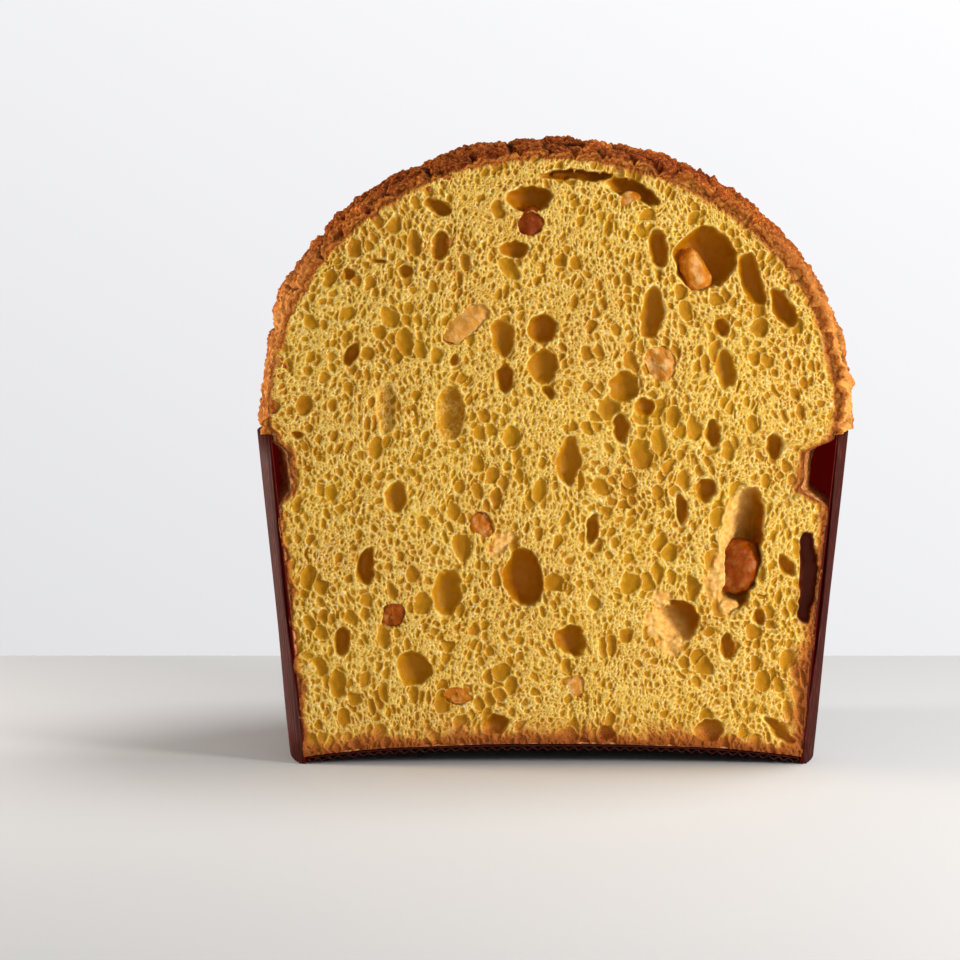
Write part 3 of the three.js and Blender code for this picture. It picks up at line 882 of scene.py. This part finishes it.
shape = bmesh.new()
bmesh.ops.create_cube(shape, size=2)
bmesh.ops.subdivide_edges(shape, edges=shape.edges[:], cuts=DIVISIONS, use_grid_fill=True)
shell = mesh_of(shape, "crust")
ball = np.tan(corners(shell) * math.pi / 4)
ball /= np.linalg.norm(ball, axis=1, keepdims=True)
smooth, outward = dome_place(ball)
wanted = (smooth[:, 1] > -CUT - 2.0) & (smooth[:, 2] > CASE_HEIGHT - 2.0)
shape = shape_of(shell)
shape.verts.ensure_lookup_table()
bmesh.ops.delete(shape, geom=[shape.verts[i] for i in np.flatnonzero(~wanted)], context="VERTS")
write_back(shape, shell)
ball, smooth, outward = ball[wanted], smooth[wanted], outward[wanted]
print("shell of", len(shell.polygons), "faces before cutting")

# %% Chips dropped onto the solid
def relief_over(points, normals, solid, reach=6.0):
    """How far the solid's surface lies outside the smooth dome at each point."""
    start = points.copy()
    start[:, 1] = np.maximum(start[:, 1], 0.4 - CUT)
    start = ((start + reach * normals) + SHIFT) * MM
    heights = np.zeros(len(points))
    for number, (begin, normal) in enumerate(zip(start, normals)):
        hit = solid.ray_cast(Vector(begin), Vector(-normal), 3 * reach * MM)
        heights[number] = reach - hit[3] / MM if hit[0] else -1.0
    return heights


loaf_copy = merged_copy("loaf")
loaf_solid = BVHTree.FromBMesh(loaf_copy)
loaf_copy.free()
shake = noises(smooth, 2.1, 41, 42, 43)
drift = noises(smooth, 7.0, 45, 46, 47)
relief = relief_over(smooth + SHAKE * shake + 0.9 * drift, outward, loaf_solid)
relief = np.clip(relief, -4.0, 2.5)

ragged = 0.3 * soft_noise(smooth, 7.0, 48) + 0.2 * soft_noise(smooth, 2.4, 49)
bare = ramp(0.32, 0.48, bare_share(ball) + ragged)
clump_near, clump_next, _ = cells(smooth + 0.5 * shake, 2.2, 51)
chip_near, chip_next, chip_chance = cells(smooth + 0.7 * drift + 0.4 * shake, 6.5, 61)
hairline = (1 - ramp(0.0, 0.7, chip_next - chip_near)) * (chip_chance < 0.75)
clump = ramp(0.0, 0.9, clump_next - clump_near)
on_chip = ramp(-2.2, -1.0, relief) * (1 - bare)
grain = 0.2 * soft_noise(smooth, 1.1, 55) + 0.25 * soft_noise(smooth, 3.1, 56)
height = relief + grain * (1 - 0.3 * bare)
height -= 0.9 * bare
height += on_chip * (0.5 * (clump - 0.6) + 0.5 * (chip_chance - 0.5) - 0.7 * hairline)
# painted shade: cracks are painted darker the deeper they lie below the chips, and less so near
# the cut
crack = np.clip(ramp(-0.9, -2.2, relief) + 0.6 * hairline * on_chip, 0, 1) * (1 - bare)
crack *= 0.3 + 0.7 * ramp(-CUT, 14 - CUT, smooth[:, 1])
reshape(shell, smooth + height[:, None] * outward)
paint(shell, crack=crack, clump=clump, bare=bare, section=np.zeros(len(height)))
print("relief from", relief.min().round(2), "to", relief.max().round(2), "mm")

# %% [markdown]
# The shell is cut with the same knife stroke, at the rim of the case, and in a left and a
# right half, which keeps each piece light. Where the knife went through, the edge is drawn
# inwards in small steps: that is the crust's own section, a few millimetres of brown crumbs.
# At the rim it turns in over the paper.

# %% Cut and section of the crust
SECTION_STEPS = 9


def draw_in(shape, edges, place):
    """Extrudes open edges and moves the new corners to what place makes of them."""
    grown = bmesh.ops.extrude_edge_only(shape, edges=edges)
    verts = new_part(grown, bmesh.types.BMVert)
    points = place(np.array([vert.co for vert in verts]))
    for vert, point in zip(verts, points):
        vert.co = point
    return new_part(grown, bmesh.types.BMEdge), verts


def section_step(points, share):
    """One step into the crust, level on whichever plane the corner lies, and below the crumb."""
    direction = np.array([0, 0, DOME_EQUATOR - 4]) - points
    direction[:, 1] *= points[:, 1] > 2.5 - CUT
    direction[:, 0] *= np.abs(points[:, 0]) > 0.01
    direction[:, 2] *= points[:, 2] > CASE_HEIGHT + GAP + 0.01
    direction /= np.linalg.norm(direction, axis=1, keepdims=True)
    stretch = 1 + 0.35 * soft_noise(points, 7.0, 72) + 0.35 * soft_noise(points, 1.6, 75)
    moved = points + direction * ((CRUST_THICK + 1.0) / SECTION_STEPS * stretch)[:, None]
    rough = 0.4 * soft_noise(points, 1.0, 73) + 0.3 * soft_noise(points, 2.4, 74)
    at_cut = points[:, 1] < 2.5 - CUT
    under = (0.1 + np.abs(rough)) * min(1, 2.5 * share) + 0.8 * float(ramp(0.35, 0.65, share))
    moved[:, 1] = np.where(at_cut, under - CUT, moved[:, 1])
    return moved


def crust_half(side):
    """Half of the crust, left (-1) or right (1), closed inside."""
    shape = shape_of(shell)
    cut_off(shape, (0, -CUT, 0), (0, -1, 0))
    cut_off(shape, (0, 0, CASE_HEIGHT + GAP), (0, 0, -1))
    cut_off(shape, (0, 0, 0), (-side, 0, 0))
    section = shape.verts.layers.float["section"]
    crack = shape.verts.layers.float["crack"]
    edges = [edge for edge in shape.edges if edge.is_boundary]
    for edge in edges:
        edge.smooth = False
    for step in range(1, SECTION_STEPS + 1):
        edges, verts = draw_in(shape, edges, lambda p: section_step(p, step / SECTION_STEPS))
        for vert in verts:
            vert[section] = step / SECTION_STEPS
            vert[crack] = 0.0
    for push in (0.6, 12.0):
        edges, _ = draw_in(shape, edges, lambda p: p + np.outer(p[:, 1] < 4 - CUT, (0, push, 0)))
    _, verts = draw_in(shape, edges, lambda p: p)
    bmesh.ops.pointmerge(shape, verts=verts, merge_co=(side * 10, 10, DOME_EQUATOR))
    bmesh.ops.recalc_face_normals(shape, faces=shape.faces)
    return mesh_of(shape, "crust")


# %% [markdown]
# The crust is short biscuit dough with sugar and ground nuts: matt, granular, brown where the
# chips stand. The cracks are painted almost black, darker the deeper they go below the chips:
# the burnt skin at their bottom is darker, and the rest of that darkness is painted shade. Where
# it split wide open, the loaf's own skin shows, smoother and golden brown.

# %% Material of the crust
def crust_material():
    material, shader = new_material("baked nut biscuit crust")
    where = node(material, "TexCoord", output="Object")
    crack, clump, bare, section = [
        node(material, "Attribute", {"attribute_name": name}, "Fac")
        for name in ("crack", "clump", "bare", "section")]
    grains = node(material, "TexNoise", Vector=where, Scale=1 / (0.9 * MM), Detail=4.0,
                  Roughness=0.65)
    lumps = node(material, "TexNoise", Vector=where, Scale=1 / (3.5 * MM), Detail=2.0)
    broad = node(material, "TexNoise", Vector=where, Scale=1 / (24 * MM), Detail=3.0)
    spread = node(material, "Math", SCALED_SUM, s0=broad, s1=0.5, s2=grains)
    chip = node(material, "ValToRGB", s0=spread, stops=[
        (0.45, "#4c1604"), (0.66, "#7c3208"), (0.84, "#ac5c1c"), (1.0, "#d89044")])
    # painted shade: the grooves between clumps are painted darker than their tops
    tops = node(material, "ValToRGB", s0=clump, stops=[(0.0, "#98643c"), (0.6, "#ffffff")])
    chip = node(material, "Mix", DARKEN, 2, s0=0.6, s6=chip, s7=tops)

    # painted light: low down and near the cut the biscuit is painted paler, where the side lights
    # catch the lower crust
    height = node(material, "SeparateXYZ", Vector=where, output="Z")
    behind = node(material, "SeparateXYZ", Vector=where, output="Y")
    close = node(material, "MapRange", s0=behind, s1=CAD_BOX[0].y + 4 * MM,
                 s2=CAD_BOX[0].y + 24 * MM, s3=0.85, s4=0.2)
    lower = node(material, "MapRange", s0=height, s1=170 * MM, s2=110 * MM)
    lower = node(material, "Math", PRODUCT, s0=lower, s1=close)
    chip = node(material, "Mix", MIX, 2, s0=lower, s6=chip, s7="#eaa656")
    # painted shade: the cracks are painted almost black
    chip = node(material, "Mix", MIX, 2, s0=crack, s6=chip, s7="#2e0900")

    streaks = node(material, "Mapping", Vector=where, Scale=(1.0, 1.0, 1.7))
    skin = node(material, "TexNoise", Vector=streaks, Scale=1 / (3 * MM), Detail=6.0,
                Roughness=0.65)
    skin = node(material, "ValToRGB", s0=skin, stops=[
        (0.32, "#5e2a0e"), (0.5, "#96561f"), (0.68, "#c08742")])
    outside = node(material, "Mix", MIX, 2, s0=bare, s6=chip, s7=skin)

    edge = node(material, "Math", SCALED_SUM, s0=lumps, s1=0.9, s2=section)
    cut = node(material, "ValToRGB", s0=edge, stops=[
        (0.45, "#d08a3c"), (0.62, "#b86c2c"), (0.76, "#944616"), (0.88, "#b06a2a"),
        (1.0, "#cc8c3e")])
    speckle = node(material, "ValToRGB", s0=grains, stops=[(0.34, "#a07048"), (0.56, "#ffffff")])
    cut = node(material, "Mix", DARKEN, 2, s0=0.7, s6=cut, s7=speckle)
    inside = node(material, "MapRange", s0=section, s1=0.0, s2=0.12)
    colour = node(material, "Mix", MIX, 2, s0=inside, s6=outside, s7=cut)

    grit = node(material, "TexVoronoi", Vector=where, Scale=1 / (0.8 * MM), output="Distance")
    rough = node(material, "Math", SCALED_SUM, s0=grit, s1=-0.5, s2=grains)
    bump = node(material, "Bump", Strength=0.8, Distance=0.4 * MM, Height=rough)
    wire(shader, Base_Color=colour, Roughness=0.75, Normal=bump, Specular_IOR_Level=0.05,
         Subsurface_Weight=0.08, Subsurface_Radius=(1.0, 0.4, 0.1), Subsurface_Scale=0.8 * MM)
    return material


biscuit = crust_material()
for name, side in (("crust_left", -1), ("crust_right", 1)):
    piece(crust_half(side), name, biscuit, "crust", "loaf")
bpy.data.meshes.remove(shell)

# %% [markdown]
# ## Skin of the loaf inside the case
#
# Where the crumb shrank from the paper, the gap shows the loaf's flank: a soft orange-brown
# skin. It is the profile of the body turned about the axis by the spin operator, cut by the
# knife, and drawn in below the rim like the cut outline is.

# %% Flank
FLANK_STEPS = 300
FLANK_RADIUS, FLANK_BOTTOM = 80.0, BASE_RADIUS - 5.5  # mm: the profile is spun this wide
FLANK_PROFILE = [6.0, 14.0, 30.0, 55.0, 72.0] + list(np.arange(80.0, 104.0, 0.8)) + [108.0]

sheet = PAPER + FLUTE_DEPTH + GAP
rings = [(radius, arch_height(radius) + sheet) for radius in (0.0, 30.0, 60.0, FLANK_BOTTOM)]
rings += [(FLANK_RADIUS, height) for height in FLANK_PROFILE]
flank_mesh = mesh_of(turned(rings, FLANK_STEPS), "flank")

points = corners(flank_mesh)
radius = np.hypot(points[:, 0], points[:, 1])
height = points[:, 2]
ripple = 0.8 * soft_noise(points, 9, 75) + 0.35 * soft_noise(points, 2.4, 76)
inside = body_radius(np.minimum(height, CASE_HEIGHT), points[:, 0] / np.maximum(1, radius))
inside = np.minimum(inside + ripple * ramp(78.0, 86.0, height), DOME_RADIUS - CRUST_THICK)
at_side = radius > FLANK_RADIUS - 1
stretch = np.where(at_side, inside / np.maximum(1, radius), 1)
reshape(flank_mesh, points * np.stack([stretch, stretch, np.ones(len(points))], axis=1))

shape = shape_of(flank_mesh)
cut_off(shape, (0, 0.5 - CUT, 0), (0, -1, 0))
close_behind(shape, 0.01, (0.4, 18.0), (0.0, 6.0, 55.0))
write_back(shape, flank_mesh)


def flank_material():
    material, shader = new_material("baked bread skin")
    where = node(material, "TexCoord", output="Object")
    grains = node(material, "TexNoise", Vector=where, Scale=1 / (1.2 * MM), Detail=4.0)
    skin = node(material, "ValToRGB", s0=grains, stops=[
        (0.3, "#8a4216"), (0.5, "#bc732e"), (0.7, "#e0a560")])
    bump = node(material, "Bump", Strength=1.0, Distance=0.9 * MM, Height=grains)
    wire(shader, Base_Color=skin, Roughness=0.6, Normal=bump, Subsurface_Weight=0.1,
         Subsurface_Radius=(1.0, 0.4, 0.1), Subsurface_Scale=1.0 * MM)
    return material


piece(flank_mesh, "flank", flank_material(), "crust", "loaf")

# %% [markdown]
# ## Baking case
#
# The case is paper in two layers: a smooth liner inside, and outside it a corrugated sheet
# whose flutes stand upright and are glued to the liner at their valleys. The base is made the
# same way, with its flutes running from the front to the back, and it is arched off the table.
#
# Each layer is a single surface first: a profile that is spun, or a grid that is bent. The
# flutes are a wave on that surface, and Solidify gives it the thickness of paper. The knife cut
# straight through, which bisecting at the cut shows as clean paper edges.

# %% Wall of the case
FLUTES = round(math.pi * (BASE_RADIUS + RIM_RADIUS) / FLUTE_PITCH)
SHEET = 0.28  # thickness of one layer of paper
WAVE_STEPS = 8
LOWEST = 0.02  # mm: paper stands this far above the table, so that nothing sinks into it


def give_thickness(made, offset):
    """Gives a sheet the thickness of paper with the Solidify modifier."""
    solidify = made.modifiers.new("paper", "SOLIDIFY")
    solidify.thickness = SHEET * MM
    solidify.offset = offset


def wall_mesh(name, steps, rows, radius_at):
    """One layer of the wall: radius_at gives its radius for an angle and a height."""
    heights = [max(LOWEST, CASE_HEIGHT * row / rows) for row in range(rows + 1)]
    mesh = mesh_of(turned([(80.0, height) for height in heights], steps), name)
    across, away, height = corners(mesh).T
    angle = np.arctan2(across, -away)
    radius = radius_at(angle, height)
    reshape(mesh, np.stack([radius * np.sin(angle), -radius * np.cos(angle), height], axis=1))
    shape = shape_of(mesh)
    cut_off(shape, (0, -CUT, 0), (0, -1, 0))
    some = shape.faces[:400]
    if sum(face.normal.xy.dot(face.calc_center_median().xy) for face in some) < 0:
        bmesh.ops.reverse_faces(shape, faces=shape.faces[:])
    return write_back(shape, mesh)


def paper_waver(angle, height):
    """Paper is never quite round: it bulges a little between the places that hold it."""
    points = np.stack([np.sin(angle) * 90, np.cos(angle) * 90, height], axis=1)
    return 0.35 * soft_noise(points, 45, 81) * np.minimum(1, height / 20)


def liner_at(angle, height):
    return liner_radius(height) + SHEET + paper_waver(angle, height)


def flutes_at(angle, height):
    crest = 0.5 + 0.5 * np.cos(FLUTES * angle)
    outside = wall_radius(height) - SHEET / 2
    return outside - (FLUTE_DEPTH - 0.1) * (1 - crest) + paper_waver(angle, height)


def paper_material(name, glow):
    """Greaseproof baking paper dyed dark brown. Fibres show as faint streaks. A little red glow
    in the liner stands for the light that comes through it from outside."""
    material, shader = new_material(name)
    where = node(material, "TexCoord", output="Object")
    stretched = node(material, "Mapping", Vector=where, Scale=(1.0, 1.0, 0.15))
    fibres = node(material, "TexNoise", Vector=stretched, Scale=1 / (0.7 * MM), Detail=4.0)
    blotch = node(material, "TexNoise", Vector=where, Scale=1 / (14 * MM), Detail=2.0)
    both = node(material, "Math", SCALED_SUM, s0=blotch, s1=0.3, s2=fibres)
    colour = node(material, "ValToRGB", s0=both, stops=[
        (0.35, "#2a0805"), (0.75, "#44180f"), (0.95, "#5e3029")])
    bump = node(material, "Bump", Strength=0.25, Distance=0.08 * MM, Height=fibres)
    wire(shader, Base_Color=colour, Roughness=0.6, Normal=bump, Specular_IOR_Level=0.1,
         Emission_Color="#8a0a08", Emission_Strength=glow)
    return material


paper = paper_material("brown greaseproof baking paper", 0.0)
liner_paper = paper_material("thin brown greaseproof liner paper", 0.2)
CASE_LAYERS = [  # name, material, steps round the axis, rows, radius, side of the thickness
    ("case_liner", liner_paper, 2 * FLUTES, 24, liner_at, -1),
    ("case_flutes", paper, WAVE_STEPS * FLUTES, 10, flutes_at, 0),
]
for name, material, steps, rows, radius_at, offset in CASE_LAYERS:
    mesh = wall_mesh(name, steps, rows, radius_at)
    give_thickness(piece(mesh, name, material, "case_paper", "case_wall"), offset)
print(FLUTES, "flutes round the whole case")

# %% Base of the case
def base_mesh(name, columns, rows, height_at):
    """One layer of the base, a grid bent to the part of a disc behind the cut."""
    shape = bmesh.new()
    bmesh.ops.create_grid(shape, x_segments=columns, y_segments=rows, size=1)
    mesh = mesh_of(shape, name)
    flat = corners(mesh)
    radius = liner_radius(0) - GAP
    x = 0.995 * radius * flat[:, 0]
    back = np.sqrt(radius**2 - x**2)
    front = np.maximum(-CUT, -back)
    y = front + (back - front) * (flat[:, 1] + 1) / 2
    z = arch_height(np.hypot(x, y)) + height_at(x)
    reshape(mesh, np.stack([x, y, z], axis=1))
    return mesh


def base_liner_height(x):
    return np.full(len(x), FLUTE_DEPTH + SHEET)


def base_flutes_height(x):
    wave = 0.5 + 0.5 * np.cos(2 * math.pi * x / FLUTE_PITCH)
    return (FLUTE_DEPTH - SHEET) * wave + 0.56 * SHEET


for name, columns, rows, height_at in (("base_liner", 160, 60, base_liner_height),
                                       ("base_flutes", 416, 24, base_flutes_height)):
    mesh = base_mesh(name, columns, rows, height_at)
    give_thickness(piece(mesh, name, paper, "case_paper", "case_base"), 0)

# %% [markdown]
# ## Candied peel
#
# The peel is diced orange and citron rind, boiled in syrup until it turned clear. The solids
# of the part have the right places and sizes. A copy of each is merged and finely subdivided.
# Its corners are cut flat, as a knife leaves them, some taper to the top, and small dents make
# it uneven. Light goes deep into it. The dice differ: some are pale, almost flesh-coloured,
# others dark amber.

# %% Peel
PEEL_LOOKS = [  # paleness, flat faces, how far out they lie, roughness in mm, taper to the top
    (0.0, 3, 0.9, 0.4, 0.0), (0.55, 5, 0.85, 0.4, 0.0), (0.55, 2, 0.9, 0.35, 0.35),
    (0.8, 3, 0.86, 0.5, 0.0), (0.4, 4, 0.95, 0.5, 0.2), (0.65, 3, 0.85, 0.6, 0.0),
    (0.12, 5, 0.84, 0.25, 0.0), (0.4, 5, 0.86, 0.9, 0.0), (0.7, 7, 0.8, 0.4, 0.0),
    (0.2, 7, 0.8, 0.4, 0.2), (0.5, 7, 0.8, 0.4, 0.0),
]
SWELL = {3: 0.5, 7: 1.0}  # these two fill their hole, so their skin lies this many mm further out


def peel_material():
    material, shader = new_material("candied orange rind")
    where = node(material, "TexCoord", output="Object")
    pale = node(material, "Attribute", {"attribute_name": "paleness"}, "Fac")
    fine = node(material, "TexNoise", Vector=where, Scale=1 / (3.0 * MM), Detail=5.0)
    grain = node(material, "TexNoise", Vector=where, Scale=1 / (0.8 * MM), Detail=3.0)
    shifted = node(material, "Math", SCALED_SUM, s0=fine, s1=0.6, s2=pale)
    shares = node(material, "MapRange", s0=shifted, s1=0.2, s2=1.3)
    colour = node(material, "ValToRGB", s0=shares, stops=[
        (0.0, "#742600"), (0.25, "#984600"), (0.55, "#c2720e"), (0.8, "#d49840")])
    # painted sheen: pale patches are painted on the pale pieces as a sheen
    sheen = node(material, "MapRange", s0=fine, s1=0.52, s2=0.68)
    sheen = node(material, "Math", PRODUCT, s0=sheen, s1=pale)
    colour = node(material, "Mix", MIX, 2, s0=sheen, s6=colour, s7="#e8bd80")
    both = node(material, "Math", SCALED_SUM, s0=grain, s1=0.4, s2=fine)
    bump = node(material, "Bump", Strength=0.7, Distance=0.7 * MM, Height=both)
    wet = node(material, "MapRange", s0=pale, s1=0.0, s2=0.6, s3=0.28, s4=0.5)
    wire(shader, Base_Color=colour, Roughness=wet, Normal=bump, Subsurface_Weight=0.4,
         Subsurface_Radius=(1.0, 0.55, 0.2), Subsurface_Scale=1.6 * MM, Specular_IOR_Level=0.12)
    return material


def dice_shape(points, place, facets, reach, taper, salt):
    """Cuts a piece's corners off with flat faces and rounds its front back into the crumb."""
    middle = points.mean(axis=0)
    offset = points - middle
    for number in range(facets):
        angles = dice(salt, np.array([number, number + 50]))
        turn, up = 2 * math.pi * angles[0], math.asin(2 * angles[1] - 1)
        level = math.cos(up)
        aim = np.array([level * math.cos(turn), -abs(math.sin(up)), level * math.sin(turn)])
        along = offset @ aim
        limit = reach * along.max()
        offset = offset - np.maximum(0, along - limit)[:, None] * aim
    points = middle + offset
    right, above = egg(points[:, [0, 2]], place)
    points[:, 0] -= taper * np.clip(0.5 + 0.5 * above, 0, 1) * right * place[2] / 2
    back = 0.3 + 0.8 * np.minimum(1, right**2 + above**2)
    points[:, 1] = np.maximum(points[:, 1], back - CUT)
    return points


rind = peel_material()
for number, (paleness, facets, reach, rough, taper) in enumerate(PEEL_LOOKS, 1):
    shape = merged_copy(f"peel_{number}")
    bmesh.ops.transform(shape, matrix=Matrix.Scale(1 / MM, 4), verts=shape.verts[:])
    bmesh.ops.subdivide_edges(shape, edges=shape.edges[:], cuts=7, use_grid_fill=True, smooth=0.25)
    mesh = mesh_of(shape, f"peel_{number}")
    normals = np.array([vertex.normal for vertex in mesh.vertices])
    points = dice_shape(corners(mesh) - SHIFT, PEEL[number - 1], facets, reach,
                        taper, 150 + number)
    dents = 1.2 * soft_noise(points, 5.0, 90 + number) + soft_noise(points, 1.9, 110 + number)
    dents = rough * (dents + 0.4 * soft_noise(points, 0.9, 130 + number)) + SWELL.get(number, 0)
    reshape(mesh, points + normals * dents[:, None])
    paint(mesh, paleness=np.full(len(points), paleness))
    piece(mesh, f"candied_peel_{number}", rind, "candied_peel", f"peel_{number}")
